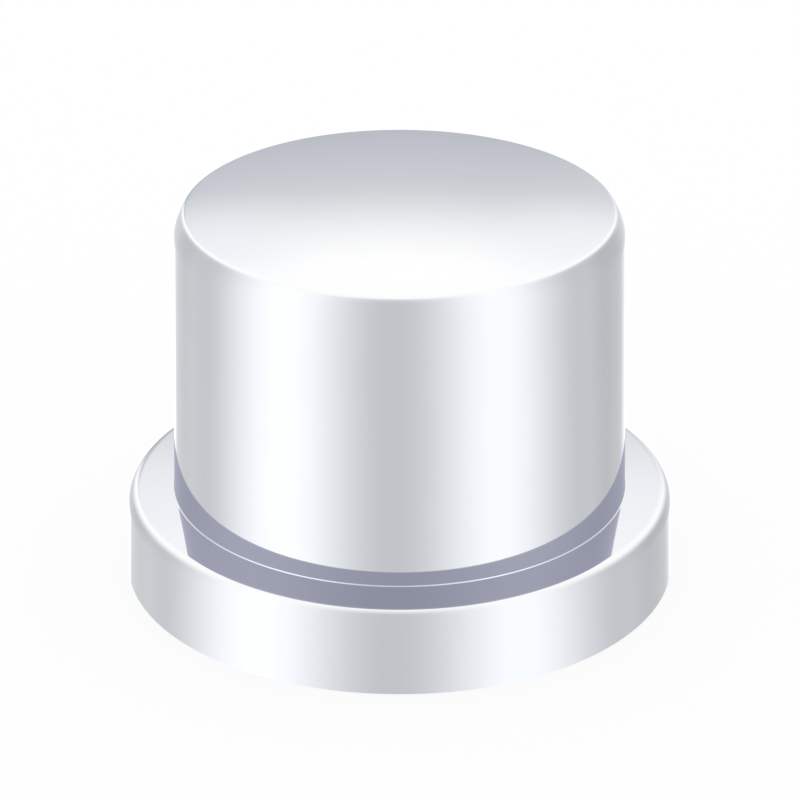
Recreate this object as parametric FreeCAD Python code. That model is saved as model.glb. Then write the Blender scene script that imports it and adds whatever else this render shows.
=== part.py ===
import FreeCAD, Part
import math
import os

# Push-on cover cap for a hexagon wheel nut, moulded in one piece and chrome plated.
# Units are millimetres. The origin is the centre of the flange's bottom face,
# and +Z runs up the cap's axis to the crown.

# The wheel nut that the cap is pushed onto
nut_across_flats = 33.0
nut_across_corners = 37.3
nut_height = 28.0
nut_washer_diameter = 46.5

# Room left around the nut, measured along the radius
corner_clearance = 0.1
washer_clearance = 0.4
rib_bite = 0.1

# The moulding's wall, and the draft of its sides in degrees
wall = 1.65
hat_draft = 1.2
flange_draft = 2.0

# Heights above the wheel, of the flange's top beside the hat and of the crown's edge
flange_height = 8.35
crown_height = 35.4

# How far the flange's top falls towards its rim
rim_drop = 0.3

# How far the crown bulges above its edge, and how far in from the hat's wall the edge lies
crown_rise = 1.2
crown_inset = 1.15

# Rounds of the outside, where the chrome shows
rim_round = 1.2
shoulder_round = 3.0

# Bevels: the crown's crisp edge (how far out and how far down it runs), the foot of the
# hat, the rim's foot, and the two inside that start the cap over the washer and the nut
edge_width = 0.4
edge_drop = 0.195
junction_bevel = 0.2
foot_bevel = 0.2
mouth_bevel = 0.5
socket_bevel = 1.2

# Grip ribs, a pair on each flat of the nut
flats = 6
rib_thickness = 1.2
rib_spacing = 10.0
rib_lead_in = 4.5
rib_tip_round = 0.25

# Worked out from the sizes above
recess_radius = nut_washer_diameter / 2 + washer_clearance
flange_radius = recess_radius + wall
recess_roof = flange_height - wall
rim_height = flange_height - rim_drop
roof_edge = crown_height - wall
rib_reach = nut_across_flats / 2 - rib_bite
rib_foot = recess_roof + socket_bevel

ORIGIN = FreeCAD.Vector(0, 0, 0)
UP = FreeCAD.Vector(0, 0, 1)


def lean(degrees):
    """How far a drafted wall leans in for each millimetre of height."""
    return math.tan(math.radians(degrees))


def hat_radius(height):
    """Outside of the hat, whose bore just clears the nut's corners at the nut's top."""
    at_nut_top = nut_across_corners / 2 + corner_clearance + wall
    return at_nut_top + (nut_height - height) * lean(hat_draft)


def bore_radius(height):
    return hat_radius(height) - wall


def rim_radius(height):
    return flange_radius - height * lean(flange_draft)


def roof_height(radius):
    """The roof over the nut, a shallow cone that rises under the crown."""
    return roof_edge + crown_rise * (1 - radius / bore_radius(roof_edge))


def point(radius, height):
    return FreeCAD.Vector(radius, 0, height)


def line(start, end):
    return Part.LineSegment(start, end).toShape()


def arc(start, middle, end):
    return Part.Arc(start, middle, end).toShape()


def turned(edges):
    """A solid made by turning a closed profile about the cap's axis."""
    return Part.Face(Part.Wire(edges)).revolve(ORIGIN, UP, 360)


def corner_round(before, corner, after, size):
    """Start, middle and end of the arc that rounds a corner of two straight runs."""
    back = (before - corner).normalize()
    on = (after - corner).normalize()
    half = back.getAngle(on) / 2
    reach = size / math.tan(half)
    inwards = (back + on).normalize()
    middle = corner + inwards * (size / math.sin(half) - size)
    return corner + back * reach, middle, corner + on * reach


def shoulder_arc(foot, top, end):
    """Start, middle and end of the arc that leaves the hat's wall and runs in to a given end."""
    along = (top - foot).normalize()
    inwards = FreeCAD.Vector(-along.z, 0, along.x)
    start = foot + inwards * shoulder_round - end
    run = start.dot(along)
    travel = -run - math.sqrt(run ** 2 - start.dot(start) + shoulder_round ** 2)
    centre = end + start + along * travel
    outwards = (end - centre).normalize()
    to_middle = (outwards - inwards).normalize()
    on_wall = centre - inwards * shoulder_round
    return on_wall, centre + to_middle * shoulder_round, end


def crown():
    """The cap of the crown's ball, turned on its side so that no pole is at the peak."""
    edge_radius = hat_radius(crown_height) - crown_inset
    ball = (edge_radius ** 2 + crown_rise ** 2) / (2 * crown_rise)
    ball_centre = point(0, crown_height + crown_rise - ball)
    whole = Part.makeSphere(ball, ball_centre, FreeCAD.Vector(-1, 0, 0))
    above = Part.makeCylinder(flange_radius, wall + crown_rise, UP * crown_height)
    return whole.common(above)


def outside():
    """The full outer form: rim, flange top, hat wall, shoulder and crown."""
    base = point(0, 0)
    foot_in = point(rim_radius(0) - foot_bevel, 0)
    foot_out = point(rim_radius(foot_bevel), foot_bevel)
    rim_top = point(rim_radius(rim_height), rim_height)
    hat_foot = point(hat_radius(flange_height), flange_height)
    hat_top = point(hat_radius(crown_height), crown_height)

    rim = corner_round(foot_out, rim_top, hat_foot, rim_round)
    junction_out = hat_foot + (rim_top - hat_foot).normalize() * junction_bevel
    junction_top = flange_height + junction_bevel
    junction_up = point(hat_radius(junction_top), junction_top)
    crown_edge = point(hat_top.x - crown_inset, crown_height)
    edge_foot = point(crown_edge.x + edge_width, crown_height - edge_drop)
    shoulder = shoulder_arc(hat_foot, hat_top, edge_foot)
    crown_seat = point(0, crown_height)

    sides = turned([
        line(base, foot_in),
        line(foot_in, foot_out),
        line(foot_out, rim[0]),
        arc(*rim),
        line(rim[2], junction_out),
        line(junction_out, junction_up),
        line(junction_up, shoulder[0]),
        arc(*shoulder),
        line(edge_foot, crown_edge),
        line(crown_edge, crown_seat),
        line(crown_seat, base),
    ])
    return sides.fuse(crown())


def inside():
    """The hollow: a wide recess for the nut's washer, and the socket up in the hat."""
    stops = [
        point(0, 0),
        point(recess_radius + mouth_bevel, 0),
        point(recess_radius, mouth_bevel),
        point(recess_radius, recess_roof),
        point(bore_radius(recess_roof) + socket_bevel, recess_roof),
        point(bore_radius(rib_foot), rib_foot),
        point(bore_radius(roof_edge), roof_edge),
        point(0, roof_height(0)),
    ]
    return turned([line(a, b) for a, b in zip(stops, stops[1:] + stops[:1])])


def chord(radius):
    """Distance out to a circle, along the line that a rib stands on."""
    return math.sqrt(radius ** 2 - (rib_spacing / 2) ** 2)


def grip_rib():
    """One rib beside the XZ plane, rooted in the middle of the wall and the roof.

    Its foot tapers back into the wall, so the nut's flats ease the ribs apart.
    """
    bury = wall / 2
    top = roof_edge + bury
    side = [
        point(rib_reach, roof_height(rib_reach) + bury),
        point(rib_reach, rib_foot + rib_lead_in),
        point(chord(bore_radius(rib_foot)), rib_foot),
        point(chord(hat_radius(rib_foot) - bury), rib_foot),
        point(chord(hat_radius(top) - bury), top),
    ]
    plate = Part.Face(Part.makePolygon(side + side[:1]))
    plate.translate(FreeCAD.Vector(0, rib_spacing / 2 - rib_thickness / 2, 0))
    rib = plate.extrude(FreeCAD.Vector(0, rib_thickness, 0))
    tips = []
    for edge in rib.Edges:
        ends = [vertex.Point for vertex in edge.Vertexes]
        furthest = max(end.x for end in ends)
        upright = abs(ends[0].z - ends[1].z) > rib_thickness
        if upright and furthest < rib_reach + rib_tip_round / 100:
            tips.append(edge)
    return rib.makeFillet(rib_tip_round, tips)


def grip_ribs():
    """A pair of ribs for each flat of the nut."""
    one = grip_rib()
    pair = [one, one.mirror(ORIGIN, FreeCAD.Vector(0, 1, 0))]
    ribs = []
    for flat in range(flats):
        for rib in pair:
            turned_rib = rib.copy()
            turned_rib.rotate(ORIGIN, UP, flat * 360 / flats)
            ribs.append(turned_rib)
    return ribs


def nut_cover():
    shell = outside().cut(inside())
    cover = shell.fuse(grip_ribs())
    return cover.removeSplitter()


os.makedirs("parts", exist_ok=True)
cover = nut_cover()
cover.Solids[0].exportStep("parts/nut_cover.step")

box = cover.optimalBoundingBox(False, False)
print("solids", len(cover.Solids), "valid", cover.isValid(), "faces", len(cover.Faces))
print("size", round(box.XLength, 3), round(box.YLength, 3), round(box.ZLength, 3))
print("volume in cubic centimetres", round(cover.Volume / 1000, 4))
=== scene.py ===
import math

import bmesh
import bpy
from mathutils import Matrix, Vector


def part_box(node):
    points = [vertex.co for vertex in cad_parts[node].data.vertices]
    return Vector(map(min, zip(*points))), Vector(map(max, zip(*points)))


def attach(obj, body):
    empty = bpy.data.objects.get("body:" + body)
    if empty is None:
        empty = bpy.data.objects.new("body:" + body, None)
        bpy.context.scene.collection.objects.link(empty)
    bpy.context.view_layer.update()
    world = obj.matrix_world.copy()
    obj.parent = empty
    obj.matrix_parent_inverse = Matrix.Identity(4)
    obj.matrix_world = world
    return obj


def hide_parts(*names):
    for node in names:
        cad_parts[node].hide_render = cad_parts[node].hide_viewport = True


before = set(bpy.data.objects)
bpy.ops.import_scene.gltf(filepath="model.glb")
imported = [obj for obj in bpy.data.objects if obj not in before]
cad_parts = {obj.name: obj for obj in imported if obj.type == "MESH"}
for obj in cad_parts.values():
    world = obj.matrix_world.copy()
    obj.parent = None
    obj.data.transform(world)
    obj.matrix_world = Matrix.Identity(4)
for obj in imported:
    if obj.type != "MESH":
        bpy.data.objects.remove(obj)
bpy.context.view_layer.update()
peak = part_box("nut_cover")[1]

MM = 0.001

# The moulding's sizes, as the part's source has them
wall = 1.65 * MM
flange_radius = 25.3 * MM
flange_height = 8.35 * MM
rim_drop = 0.3 * MM
rim_height = flange_height - rim_drop
crown_height = 35.4 * MM
crown_rise = peak.z - crown_height
crown_inset = 1.15 * MM
nut_top = 28.0 * MM
hat_radius_at_nut_top = 20.4 * MM
hat_lean = math.tan(math.radians(1.2))
flange_lean = math.tan(math.radians(2.0))
recess_radius = 23.65 * MM
recess_roof = flange_height - wall
roof_edge = crown_height - wall
mouth_bevel = 0.5 * MM
socket_bevel = 1.2 * MM

# The crown's crisp edge, the rounds that the chrome catches light on, and the softer
# ones of the hidden side
edge_width = 0.4 * MM
edge_drop = 0.195 * MM
shoulder_round = 3.0 * MM
junction_round = 0.12 * MM
rim_round = 1.2 * MM
foot_round = 0.2 * MM
mouth_round = 0.1 * MM
recess_round = 0.3 * MM
roof_round = 0.5 * MM

# Grip ribs
flats = 6
rib_thickness = 1.2 * MM
rib_spacing = 10.0 * MM
rib_reach = 16.4 * MM
rib_lead_in = 4.5 * MM
rib_tip_round = 0.25 * MM
rib_foot = recess_roof + socket_bevel

# The way from the cap to the camera
camera_rise = math.radians(25.76)
to_camera = Vector((0.0, -math.cos(camera_rise), math.sin(camera_rise)))

# How finely the moulding is drawn
steps_round = 448
crown_steps = 30
round_steps = 10
rib_tip_steps = 4
rib_sharp_angle = math.radians(40)
flat_step = 2.0 * MM
support = 0.06 * MM
shortest_run = 4 * support
weld_distance = 0.0001 * MM

# Plain white, and the brighter light of the softboxes
white = (1.0, 1.0, 1.0, 1.0)
box_white = (1.76, 1.745, 1.69, 1.0)


def put(tree, kind, inputs=(), **settings):
    """Adds a node. Each of its inputs is given a value, or linked where it is a socket."""
    made = tree.nodes.new(kind)
    for name, value in settings.items():
        setattr(made, name, value)
    for name, value in dict(inputs).items():
        if isinstance(value, bpy.types.NodeSocket):
            tree.links.new(value, made.inputs[name])
        else:
            made.inputs[name].default_value = value
    return made


def maths(tree, operation, first, second=0.0):
    node = put(tree, "ShaderNodeMath", {0: first, 1: second}, operation=operation)
    return node.outputs[0]


def multiply(tree, first, *others):
    """The product of two or more values."""
    product = first
    for other in others:
        product = maths(tree, "MULTIPLY", product, other)
    return product


def vector_maths(tree, operation, first, second=(0.0, 0.0, 0.0)):
    node = put(tree, "ShaderNodeVectorMath", {0: first, 1: second}, operation=operation)
    return node.outputs[0]


def ease(tree, value, start, end, low=0.0, high=1.0):
    """Goes smoothly from low to high while value goes from start to end."""
    inputs = {"Value": value, "From Min": start, "From Max": end, "To Min": low, "To Max": high}
    node = put(tree, "ShaderNodeMapRange", inputs, interpolation_type="SMOOTHSTEP")
    return node.outputs["Result"]


def blend_colours(tree, share, first, second):
    """Goes from the first colour to the second while share goes from 0 to 1."""
    factor, colour_a, colour_b, mixed = 0, 6, 7, 2
    inputs = {factor: share, colour_a: first, colour_b: second}
    return put(tree, "ShaderNodeMix", inputs, data_type="RGBA").outputs[mixed]


def new_group(name, kind, inputs, outputs):
    """A node group with named sockets, and the nodes that stand for its two ends."""
    tree = bpy.data.node_groups.new(name, kind)
    for label, socket_type, value in inputs:
        socket = tree.interface.new_socket(label, in_out="INPUT", socket_type=socket_type)
        if value is not None:
            socket.default_value = value
    for label, socket_type in outputs:
        tree.interface.new_socket(label, in_out="OUTPUT", socket_type=socket_type)
    start = tree.nodes.new("NodeGroupInput").outputs
    end = tree.nodes.new("NodeGroupOutput").inputs
    return tree, start, end


def use_group(tree, group, inputs):
    return put(tree, "ShaderNodeGroup", inputs, node_tree=group).outputs[0]


def hat_radius(height):
    return hat_radius_at_nut_top + (nut_top - height) * hat_lean


def bore_radius(height):
    return hat_radius(height) - wall


def rim_radius(height):
    return flange_radius - height * flange_lean


def roof_height(radius):
    """The roof over the nut, a shallow cone that rises under the crown."""
    return roof_edge + crown_rise * (1 - radius / bore_radius(roof_edge))


def arc(centre, start, end, steps=round_steps):
    """Points along the shorter arc from start to end."""
    spoke = start - centre
    goal = end - centre
    begin = math.atan2(spoke.y, spoke.x)
    sweep = (math.atan2(goal.y, goal.x) - begin + math.pi) % math.tau - math.pi
    angles = [begin + sweep * step / steps for step in range(steps + 1)]
    return [centre + Vector((math.cos(a), math.sin(a))) * spoke.length for a in angles]


def corner_arc(before, corner, after, size):
    """The arc that rounds a corner between two straight runs."""
    back = (before - corner).normalized()
    on = (after - corner).normalized()
    half = back.angle(on) / 2
    reach = size / math.tan(half)
    centre = corner + (back + on).normalized() * (size / math.sin(half))
    return arc(centre, corner + back * reach, corner + on * reach)


def straight(start, end):
    """Points between two rounds, with one beside each so that the run shades flat."""
    length = (end - start).length
    if length < shortest_run:
        return []
    steps = max(1, math.ceil(length / flat_step))
    between = [length * step / steps for step in range(1, steps)]
    spots = [support] + between + [length - support]
    return [start.lerp(end, spot / length) for spot in spots]


def crown_and_edge():
    """The crown's ball from its peak outwards, and the small round of its edge."""
    crown_edge = Vector((hat_radius(crown_height) - crown_inset, crown_height))
    ball = (crown_edge.x ** 2 + crown_rise ** 2) / (2 * crown_rise)
    ball_centre = Vector((0.0, peak.z - ball))
    outwards = (crown_edge - ball_centre).normalized()
    chord_down = Vector((edge_width, -edge_drop))
    edge_round = -chord_down.length_squared / (2 * chord_down.dot(outwards))
    crown = arc(ball_centre, Vector((0.0, peak.z)), crown_edge, crown_steps)
    edge = arc(crown_edge - outwards * edge_round, crown_edge, crown_edge + chord_down)
    return [crown, edge]


def shoulder(end):
    """The round that leads from the end of the crown's edge into the hat's wall."""
    foot_of_wall = Vector((hat_radius(flange_height), flange_height))
    top_of_wall = Vector((hat_radius(crown_height), crown_height))
    along = (top_of_wall - foot_of_wall).normalized()
    inwards = Vector((-along.y, along.x))
    start = foot_of_wall + inwards * shoulder_round - end
    run = start.dot(along)
    travel = -run - math.sqrt(run ** 2 - start.dot(start) + shoulder_round ** 2)
    centre = end + start + along * travel
    return arc(centre, end, centre - inwards * shoulder_round)


def outside_corners():
    """Each corner from the hat's foot down to the mouth, with the size of its round."""
    return [
        (hat_radius(flange_height), flange_height, junction_round),
        (rim_radius(rim_height), rim_height, rim_round),
        (rim_radius(0), 0.0, foot_round),
        (recess_radius + mouth_bevel, 0.0, mouth_round),
    ]


def inside_corners():
    """Each corner from the mouth up to the roof's edge, with the size of its round."""
    return [
        (recess_radius, mouth_bevel, mouth_round),
        (recess_radius, recess_roof, recess_round),
        (bore_radius(recess_roof) + socket_bevel, recess_roof, recess_round),
        (bore_radius(rib_foot), rib_foot, recess_round),
        (bore_radius(roof_edge), roof_edge, roof_round),
    ]


def moulding_outline():
    """The whole outline to be turned, from the crown's peak round to the roof's centre.

    Its points are (radius, height) pairs. Also gives the number of those on the outside.
    """
    rounds = crown_and_edge()
    rounds.append(shoulder(rounds[-1][-1]))
    last_outside = len(rounds) - 1 + len(outside_corners())
    corners = outside_corners() + inside_corners()
    spots = [Vector((radius, height)) for radius, height, size in corners]
    sizes = [size for radius, height, size in corners]
    befores = [rounds[-1][-1]] + spots[:-1]
    afters = spots[1:] + [Vector((0.0, roof_height(0)))]
    for before, spot, after, size in zip(befores, spots, afters, sizes):
        rounds.append(corner_arc(before, spot, after, size))
    rounds.append([afters[-1]])
    points = list(rounds[0])
    outside_count = 0
    for number, curve in enumerate(rounds[1:], start=1):
        first = curve[1:] if (curve[0] - points[-1]).length < weld_distance else curve
        points += straight(points[-1], first[0]) + first
        if number == last_outside:
            outside_count = len(points)
    return points, outside_count


def turned_form_tree():
    """Turns an outline about the Z axis into one closed skin."""
    tree, given, result = new_group(
        "turned_form",
        "GeometryNodeTree",
        [
            ("Outline", "NodeSocketGeometry", None),
            ("Steps Round", "NodeSocketInt", 64),
            ("Outside Points", "NodeSocketInt", 1),
            ("Weld Distance", "NodeSocketFloat", 0.0),
            ("Outside Material", "NodeSocketMaterial", None),
            ("Inside Material", "NodeSocketMaterial", None),
        ],
        [("Form", "NodeSocketGeometry")],
    )
    outline = given["Outline"]
    counted = put(tree, "GeometryNodeAttributeDomainSize", {"Geometry": outline})
    count = counted.outputs["Point Count"]
    last = maths(tree, "SUBTRACT", count, 1.0)
    columns = maths(tree, "ADD", given["Steps Round"], 1.0)
    sheet_size = {"Size X": math.tau, "Size Y": last, "Vertices X": columns, "Vertices Y": count}
    sheet = put(tree, "GeometryNodeMeshGrid", sheet_size).outputs["Mesh"]
    on_sheet = put(tree, "GeometryNodeInputPosition").outputs[0]
    place = put(tree, "ShaderNodeSeparateXYZ", {0: on_sheet})
    row = maths(tree, "ADD", place.outputs["Y"], maths(tree, "MULTIPLY", last, 0.5))
    row_number = maths(tree, "ROUND", row)
    marked = put(
        tree,
        "GeometryNodeStoreNamedAttribute",
        {"Geometry": sheet, "Name": "outline_row", "Value": row_number},
        data_type="FLOAT",
        domain="POINT",
    ).outputs[0]
    spot = put(
        tree,
        "GeometryNodeSampleIndex",
        {
            "Geometry": outline,
            "Value": put(tree, "GeometryNodeInputPosition").outputs[0],
            "Index": row_number,
        },
        data_type="FLOAT_VECTOR",
        domain="POINT",
    ).outputs[0]
    around = put(
        tree,
        "ShaderNodeVectorRotate",
        {"Vector": spot, "Angle": place.outputs["X"]},
        rotation_type="Z_AXIS",
    ).outputs[0]
    turned = put(tree, "GeometryNodeSetPosition", {"Geometry": marked, "Position": around})
    welded = put(
        tree,
        "GeometryNodeMergeByDistance",
        {"Geometry": turned.outputs[0], "Distance": given["Weld Distance"]},
    )
    outwards = put(tree, "GeometryNodeFlipFaces", {"Mesh": welded.outputs[0]})
    smooth = put(tree, "GeometryNodeSetShadeSmooth", {"Geometry": outwards.outputs[0]})
    real = put(tree, "GeometryNodeRealizeInstances", {"Geometry": smooth.outputs[0]})
    outer = put(
        tree,
        "GeometryNodeSetMaterial",
        {"Geometry": real.outputs[0], "Material": given["Outside Material"]},
    )
    row_of_face = put(
        tree, "GeometryNodeInputNamedAttribute", {"Name": "outline_row"}, data_type="FLOAT"
    ).outputs[0]
    last_outside = maths(tree, "SUBTRACT", given["Outside Points"], 1.0)
    is_inside = maths(tree, "GREATER_THAN", row_of_face, last_outside)
    inner = put(
        tree,
        "GeometryNodeSetMaterial",
        {
            "Geometry": outer.outputs[0],
            "Selection": is_inside,
            "Material": given["Inside Material"],
        },
    )
    tree.links.new(inner.outputs[0], result["Form"])
    return tree


def ribs_round_nut_tree():
    """Sets a pair of ribs on each flat of the nut."""
    pair = 2.0
    tree, given, result = new_group(
        "ribs_round_nut",
        "GeometryNodeTree",
        [
            ("Rib", "NodeSocketGeometry", None),
            ("Flats", "NodeSocketInt", 6),
            ("Spacing", "NodeSocketFloat", 0.01),
            ("Rib Material", "NodeSocketMaterial", None),
        ],
        [("Ribs", "NodeSocketGeometry")],
    )
    number = put(tree, "GeometryNodeInputIndex").outputs[0]
    flat = maths(tree, "FLOOR", maths(tree, "DIVIDE", number, pair))
    turn = maths(tree, "MULTIPLY", flat, maths(tree, "DIVIDE", math.tau, given["Flats"]))
    side = maths(tree, "SUBTRACT", maths(tree, "MODULO", number, pair), 0.5)
    offset = maths(tree, "MULTIPLY", side, given["Spacing"])
    shift = put(tree, "ShaderNodeCombineXYZ", {"Y": offset})
    place = put(
        tree,
        "ShaderNodeVectorRotate",
        {"Vector": shift.outputs[0], "Angle": turn},
        rotation_type="Z_AXIS",
    )
    count = maths(tree, "MULTIPLY", given["Flats"], pair)
    points = put(tree, "GeometryNodePoints", {"Count": count, "Position": place.outputs[0]})
    facing = put(tree, "ShaderNodeCombineXYZ", {"Z": turn})
    set_out = put(
        tree,
        "GeometryNodeInstanceOnPoints",
        {"Points": points.outputs[0], "Instance": given["Rib"], "Rotation": facing.outputs[0]},
    )
    real = put(tree, "GeometryNodeRealizeInstances", {"Geometry": set_out.outputs[0]})
    dressed = put(
        tree,
        "GeometryNodeSetMaterial",
        {"Geometry": real.outputs[0], "Material": given["Rib Material"]},
    )
    tree.links.new(dressed.outputs[0], result["Ribs"])
    return tree


def grown_piece(name, start_mesh, tree, values):
    """Runs a tree on a mesh and keeps its result as a plain mesh of that name."""
    seed = bpy.data.objects.new(name + "_start", start_mesh)
    bpy.context.scene.collection.objects.link(seed)
    growth = seed.modifiers.new("growth", "NODES")
    growth.node_group = tree
    given = [item for item in tree.interface.items_tree if item.in_out == "INPUT"]
    sockets = {item.name: item.identifier for item in given}
    for label, value in values.items():
        growth[sockets[label]] = value
    view = bpy.context.evaluated_depsgraph_get()
    grown = bpy.data.meshes.new_from_object(seed.evaluated_get(view))
    seed.modifiers.remove(growth)
    bpy.data.objects.remove(seed)
    if grown.materials[0] is None:
        grown.materials.pop(index=0)
    grown.name = name
    piece = bpy.data.objects.new(name, grown)
    bpy.context.scene.collection.objects.link(piece)
    return piece


def outline_mesh(points):
    mesh = bpy.data.meshes.new("moulding_outline")
    edges = [(i, i + 1) for i in range(len(points) - 1)]
    mesh.from_pydata([(p.x, 0.0, p.y) for p in points], edges, [])
    return mesh


def chord(radius):
    """Distance out to a circle, along the line that a rib stands on."""
    return math.sqrt(radius ** 2 - (rib_spacing / 2) ** 2)


def rib_blank():
    """One rib on the XZ plane, rooted in the middle of the wall and the roof."""
    bury = wall / 2
    top = roof_edge + bury
    side = [
        (rib_reach, roof_height(rib_reach) + bury),
        (rib_reach, rib_foot + rib_lead_in),
        (chord(bore_radius(rib_foot)), rib_foot),
        (chord(hat_radius(rib_foot) - bury), rib_foot),
        (chord(hat_radius(top) - bury), top),
    ]
    shape = bmesh.new()
    near = [shape.verts.new((x, -rib_thickness / 2, z)) for x, z in side]
    far = [shape.verts.new((x, rib_thickness / 2, z)) for x, z in side]
    shape.faces.new(near)
    shape.faces.new(far[::-1])
    for i in range(len(side)):
        j = (i + 1) % len(side)
        shape.faces.new((near[j], near[i], far[i], far[j]))
    tips = [e for row in (near, far) for e in row[1].link_edges if e.other_vert(row[1]) in row]
    bmesh.ops.bevel(
        shape,
        geom=tips,
        offset=rib_tip_round,
        segments=rib_tip_steps,
        profile=0.5,
        affect="EDGES",
    )
    bmesh.ops.recalc_face_normals(shape, faces=shape.faces)
    mesh = bpy.data.meshes.new("rib_blank")
    shape.to_mesh(mesh)
    shape.free()
    mesh.polygons.foreach_set("use_smooth", [True] * len(mesh.polygons))
    mesh.set_sharp_from_angle(angle=rib_sharp_angle)
    return mesh


def plating_ripple_group():
    """The faint unevenness that a plated moulding has, as a height."""
    tree, given, result = new_group(
        "plating_ripple",
        "ShaderNodeTree",
        [("Place", "NodeSocketVector", None), ("Per Metre", "NodeSocketFloat", 100.0)],
        [("Height", "NodeSocketFloat")],
    )
    broad = put(
        tree,
        "ShaderNodeTexNoise",
        {"Vector": given["Place"], "Scale": given["Per Metre"], "Detail": 2.0, "Roughness": 0.35},
    )
    tree.links.new(broad.outputs["Fac"], result["Height"])
    return tree


def handling_haze_group():
    """Soft patches where hands and cloths have dulled the plating, from 0 to 1."""
    clear_below = 0.35
    full_above = 0.75
    tree, given, result = new_group(
        "handling_haze",
        "ShaderNodeTree",
        [("Place", "NodeSocketVector", None), ("Per Metre", "NodeSocketFloat", 60.0)],
        [("Haze", "NodeSocketFloat")],
    )
    cloudy = put(
        tree,
        "ShaderNodeTexNoise",
        {"Vector": given["Place"], "Scale": given["Per Metre"], "Detail": 5.0, "Roughness": 0.6},
    )
    hazy = ease(tree, cloudy.outputs["Fac"], clear_below, full_above)
    tree.links.new(hazy, result["Haze"])
    return tree


def dust_specks_group():
    """A few tiny specks of dust, each 1 on a ground of 0."""
    core_share = 0.4
    tree, given, result = new_group(
        "dust_specks",
        "ShaderNodeTree",
        [
            ("Place", "NodeSocketVector", None),
            ("Per Metre", "NodeSocketFloat", 400.0),
            ("Share", "NodeSocketFloat", 0.1),
            ("Speck Size", "NodeSocketFloat", 0.1),
        ],
        [("Dust", "NodeSocketFloat")],
    )
    cells = put(
        tree,
        "ShaderNodeTexVoronoi",
        {"Vector": given["Place"], "Scale": given["Per Metre"]},
        feature="F1",
    )
    chance = put(tree, "ShaderNodeSeparateColor", {0: cells.outputs["Color"]}).outputs[0]
    chosen = maths(tree, "LESS_THAN", chance, given["Share"])
    core = maths(tree, "MULTIPLY", given["Speck Size"], core_share)
    dot = ease(tree, cells.outputs["Distance"], given["Speck Size"], core)
    tree.links.new(maths(tree, "MULTIPLY", dot, chosen), result["Dust"])
    return tree


def plating(name, groups, colour, dulled, clean_gloss, dull_gloss, ripple_depth, ripples, specks):
    """Chrome plating, hazy in places and with a few specks.

    Its roughness goes from clean_gloss to dull_gloss with the haze. ripples is per metre,
    and specks is the share of the dust's cells that hold one.
    """
    haze_per_metre = 70.0
    dust_per_metre = 260.0
    speck_size = 0.045
    speck_dulling = 0.35
    ripple, haze, dust = groups
    material = bpy.data.materials.new(name)
    material.use_nodes = True
    tree = material.node_tree
    tree.nodes.clear()
    place = put(tree, "ShaderNodeTexCoord").outputs["Object"]
    hazy = use_group(tree, haze, {"Place": place, "Per Metre": haze_per_metre})
    dust_inputs = {"Per Metre": dust_per_metre, "Share": specks, "Speck Size": speck_size}
    dusty = use_group(tree, dust, {"Place": place, **dust_inputs})
    height = use_group(tree, ripple, {"Place": place, "Per Metre": ripples})
    bump_inputs = {"Strength": 1.0, "Distance": ripple_depth, "Height": height}
    normal = put(tree, "ShaderNodeBump", bump_inputs)
    tint = blend_colours(tree, hazy, colour, dulled)
    gloss = ease(tree, hazy, 0.0, 1.0, clean_gloss, dull_gloss)
    speckled = maths(tree, "MULTIPLY", dusty, speck_dulling)
    surface = put(
        tree,
        "ShaderNodeBsdfPrincipled",
        {
            "Base Color": tint,
            "Metallic": 1.0,
            "Roughness": maths(tree, "ADD", gloss, speckled),
            "Normal": normal.outputs[0],
        },
    )
    put(tree, "ShaderNodeOutputMaterial", {"Surface": surface.outputs[0]})
    return material


def studio_floor():
    """A white floor that shows the cap's soft shadow, and is clear from underneath."""
    reach = 3.0
    drop = 0.02 * MM
    own_glow = 0.8
    mesh = bpy.data.meshes.new("studio_floor")
    sides = ((-1, -1), (1, -1), (1, 1), (-1, 1))
    corners = [(x * reach, y * reach, -drop) for x, y in sides]
    mesh.from_pydata(corners, [], [(0, 1, 2, 3)])
    floor = bpy.data.objects.new("studio_floor", mesh)
    bpy.context.scene.collection.objects.link(floor)
    floor.visible_glossy = False
    material = bpy.data.materials.new("white_floor")
    material.use_nodes = True
    tree = material.node_tree
    tree.nodes.clear()
    matt = put(tree, "ShaderNodeBsdfDiffuse", {"Color": white})
    glow = put(tree, "ShaderNodeEmission", {"Color": white, "Strength": 1.0})
    clear = put(tree, "ShaderNodeBsdfTransparent")
    seen = put(tree, "ShaderNodeLightPath").outputs["Is Camera Ray"]
    lift = maths(tree, "MULTIPLY", seen, own_glow)
    pale = put(tree, "ShaderNodeMixShader", {0: lift, 1: matt.outputs[0], 2: glow.outputs[0]})
    below = put(tree, "ShaderNodeNewGeometry").outputs["Backfacing"]
    ground = put(tree, "ShaderNodeMixShader", {0: below, 1: pale.outputs[0], 2: clear.outputs[0]})
    put(tree, "ShaderNodeOutputMaterial", {"Surface": ground.outputs[0]})
    mesh.materials.append(material)


def bearings(tree, way):
    """A direction's turn from the front and its rise over the horizon, in degrees."""
    part = put(tree, "ShaderNodeSeparateXYZ", {0: way}).outputs
    toward = maths(tree, "MULTIPLY", part["Y"], -1.0)
    turn = maths(tree, "DEGREES", maths(tree, "ARCTAN2", part["X"], toward))
    rise = maths(tree, "DEGREES", maths(tree, "ARCSINE", part["Z"]))
    return turn, rise


def strip_light(tree, turn, middle, core, edge, strength):
    """A tall strip's light: full within core degrees of its middle, none past edge."""
    away = maths(tree, "ABSOLUTE", maths(tree, "SUBTRACT", turn, middle))
    return ease(tree, away, edge, core, 0.0, strength)


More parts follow.
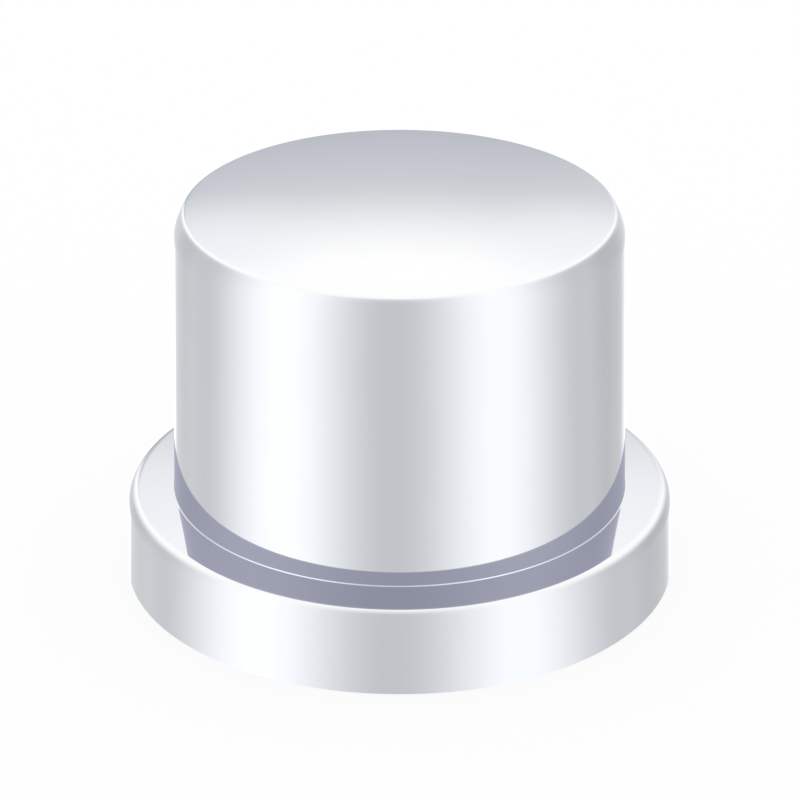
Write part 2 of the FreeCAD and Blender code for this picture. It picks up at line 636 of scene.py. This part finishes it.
def side_strips(tree, half_turn, twice):
    """Two tall softboxes at the sides, with a darker strip behind each.

    They arch up over the cap, because they are set out by half_turn, the turn of a mirror
    that shows that spot of the room to the camera. Rays mirrored twice see them wider.
    """
    spread, spread_twice = 2.0, 1.6
    arch_turn = maths(
        tree, "MULTIPLY", half_turn, ease(tree, twice, 0.0, 1.0, spread, spread_twice)
    )
    left = strip_light(tree, arch_turn, middle=-61.5, core=2.0, edge=57.0, strength=0.83)
    right = strip_light(tree, arch_turn, middle=51.5, core=0.0, edge=54.0, strength=0.765)
    dark_right = strip_light(tree, arch_turn, middle=140.0, core=8.0, edge=32.0, strength=-0.15)
    dark_left = strip_light(tree, arch_turn, middle=-148.0, core=4.0, edge=20.0, strength=-0.08)
    darker = maths(tree, "ADD", dark_left, dark_right)
    return maths(tree, "ADD", maths(tree, "ADD", left, right), darker)


def wall_behind(tree, turn, rise):
    """The wall that the crown and the flange mirror.

    It stands on a pale floor and goes from grey low down to the light of a softbox high up.
    A panel on each side of its middle evens that out.
    """
    wall_grey = (0.68, 0.705, 0.78, 1.0)
    wall_pale = (1.1, 1.12, 1.13, 1.0)
    floor_pale = (1.4, 1.42, 1.48, 1.0)
    panel_white = (1.48, 1.51, 1.55, 1.0)
    panel_strength = 0.6
    # Degrees of rise, and of turn from the wall's middle
    floor_ends = (-14.0, -2.0)
    grey_to_pale = (0.0, 30.0)
    pale_to_box = (19.0, 35.0)
    panel_foot = (17.0, 28.0)
    panel_top = (38.0, 29.0)
    panel_side = (3.5, 9.0)

    low = blend_colours(tree, ease(tree, rise, *grey_to_pale), wall_grey, wall_pale)
    high = blend_colours(tree, ease(tree, rise, *pale_to_box), low, box_white)
    from_middle = maths(tree, "SUBTRACT", 180.0, maths(tree, "ABSOLUTE", turn))
    upright = multiply(tree, ease(tree, rise, *panel_foot), ease(tree, rise, *panel_top))
    panel = multiply(tree, ease(tree, from_middle, *panel_side, 0.0, panel_strength), upright)
    with_panels = blend_colours(tree, panel, high, panel_white)
    return blend_colours(tree, ease(tree, rise, *floor_ends), floor_pale, with_panels)


def studio_light():
    """White surroundings. Reflections show a pale room with softboxes in it.

    One softbox hangs overhead, set out by tilt, the rise that a mirror faces to show that
    spot of the room to the camera. Tall ones stand at the sides, and a wall stands behind
    the cap. Rays mirrored twice see a dimmer room, with neither the wall nor the softbox
    overhead.
    """
    room_white = (0.965, 0.99, 1.0, 1.0)
    room_dim = (0.86, 0.875, 1.04, 1.0)
    strips_lost_twice = 0.7
    # Degrees of tilt, turn and rise
    box_overhead = (36.0, 66.0)
    wall_left = (-157.0, -164.0)
    wall_right = (150.0, 177.0)
    wall_top = (80.0, 60.0)

    world = bpy.data.worlds.new("studio")
    bpy.context.scene.world = world
    world.use_nodes = True
    tree = world.node_tree
    tree.nodes.clear()
    path = put(tree, "ShaderNodeLightPath").outputs
    twice = maths(tree, "GREATER_THAN", path["Glossy Depth"], 1.5)
    once = maths(tree, "SUBTRACT", 1.0, twice)
    way = put(tree, "ShaderNodeTexCoord").outputs["Generated"]
    turn, rise = bearings(tree, way)
    between = vector_maths(tree, "ADD", way, to_camera)
    half_turn, tilt = bearings(tree, vector_maths(tree, "NORMALIZE", between))

    overhead = multiply(tree, ease(tree, tilt, *box_overhead), once)
    room = blend_colours(tree, twice, room_white, room_dim)
    front = blend_colours(tree, overhead, room, box_white)
    behind = maths(tree, "MAXIMUM", ease(tree, turn, *wall_left), ease(tree, turn, *wall_right))
    wall_share = multiply(tree, behind, once, ease(tree, rise, *wall_top))
    around = blend_colours(tree, wall_share, front, wall_behind(tree, turn, rise))

    strips = side_strips(tree, half_turn, twice)
    beside_wall = maths(tree, "SUBTRACT", 1.0, maths(tree, "MAXIMUM", overhead, behind))
    kept = maths(tree, "SUBTRACT", 1.0, multiply(tree, twice, strips_lost_twice))
    glow = multiply(tree, strips, beside_wall, kept)
    glow_colour = put(tree, "ShaderNodeCombineXYZ", {0: glow, 1: glow, 2: glow}).outputs[0]
    whole = vector_maths(tree, "ADD", around, glow_colour)

    colour = blend_colours(tree, path["Is Glossy Ray"], white, whole)
    background = put(tree, "ShaderNodeBackground", {"Color": colour, "Strength": 1.0})
    put(tree, "ShaderNodeOutputWorld", {"Surface": background.outputs[0]})


def camera():
    """The photograph's view: a long lens, looking down on the cap from the front."""
    picture_width = 800
    focal_pixels = 3724
    shift_pixels = 0.4
    distance = 341.0 * MM
    target = Vector((0.0, 0.0, 16.44 * MM))
    lens = bpy.data.cameras.new("camera")
    lens.sensor_width = 36.0
    lens.lens = lens.sensor_width * focal_pixels / picture_width
    lens.shift_x = shift_pixels / picture_width
    lens.clip_start = 10 * MM
    lens.clip_end = 20.0
    view = bpy.data.objects.new("camera", lens)
    bpy.context.scene.collection.objects.link(view)
    view.location = target + to_camera * distance
    view.rotation_euler = (-to_camera).to_track_quat("-Z", "Y").to_euler()
    bpy.context.scene.camera = view


def nut_cover():
    """The plated moulding: its turned shell, and the grip ribs that grow out of it."""
    effects = (plating_ripple_group(), handling_haze_group(), dust_specks_group())
    bright = plating(
        "bright_chrome",
        effects,
        colour=(0.552, 0.558, 0.580, 1.0),
        dulled=(0.545, 0.551, 0.574, 1.0),
        clean_gloss=0.025,
        dull_gloss=0.045,
        ripple_depth=0.0015 * MM,
        ripples=160.0,
        specks=0.02,
    )
    satin = plating(
        "satin_chrome",
        effects,
        colour=(0.50, 0.50, 0.51, 1.0),
        dulled=(0.40, 0.40, 0.41, 1.0),
        clean_gloss=0.26,
        dull_gloss=0.42,
        ripple_depth=0.004 * MM,
        ripples=700.0,
        specks=0.1,
    )
    points, outside_count = moulding_outline()
    shell = grown_piece(
        "plated_shell",
        outline_mesh(points),
        turned_form_tree(),
        {
            "Steps Round": steps_round,
            "Outside Points": outside_count,
            "Weld Distance": weld_distance,
            "Outside Material": bright,
            "Inside Material": satin,
        },
    )
    ribs = grown_piece(
        "grip_ribs",
        rib_blank(),
        ribs_round_nut_tree(),
        {"Flats": flats, "Spacing": rib_spacing, "Rib Material": satin},
    )
    for piece in (shell, ribs):
        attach(piece, "root")
        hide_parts("nut_cover")


nut_cover()
studio_floor()
studio_light()
camera()
bpy.context.scene.view_settings.view_transform = "Standard"
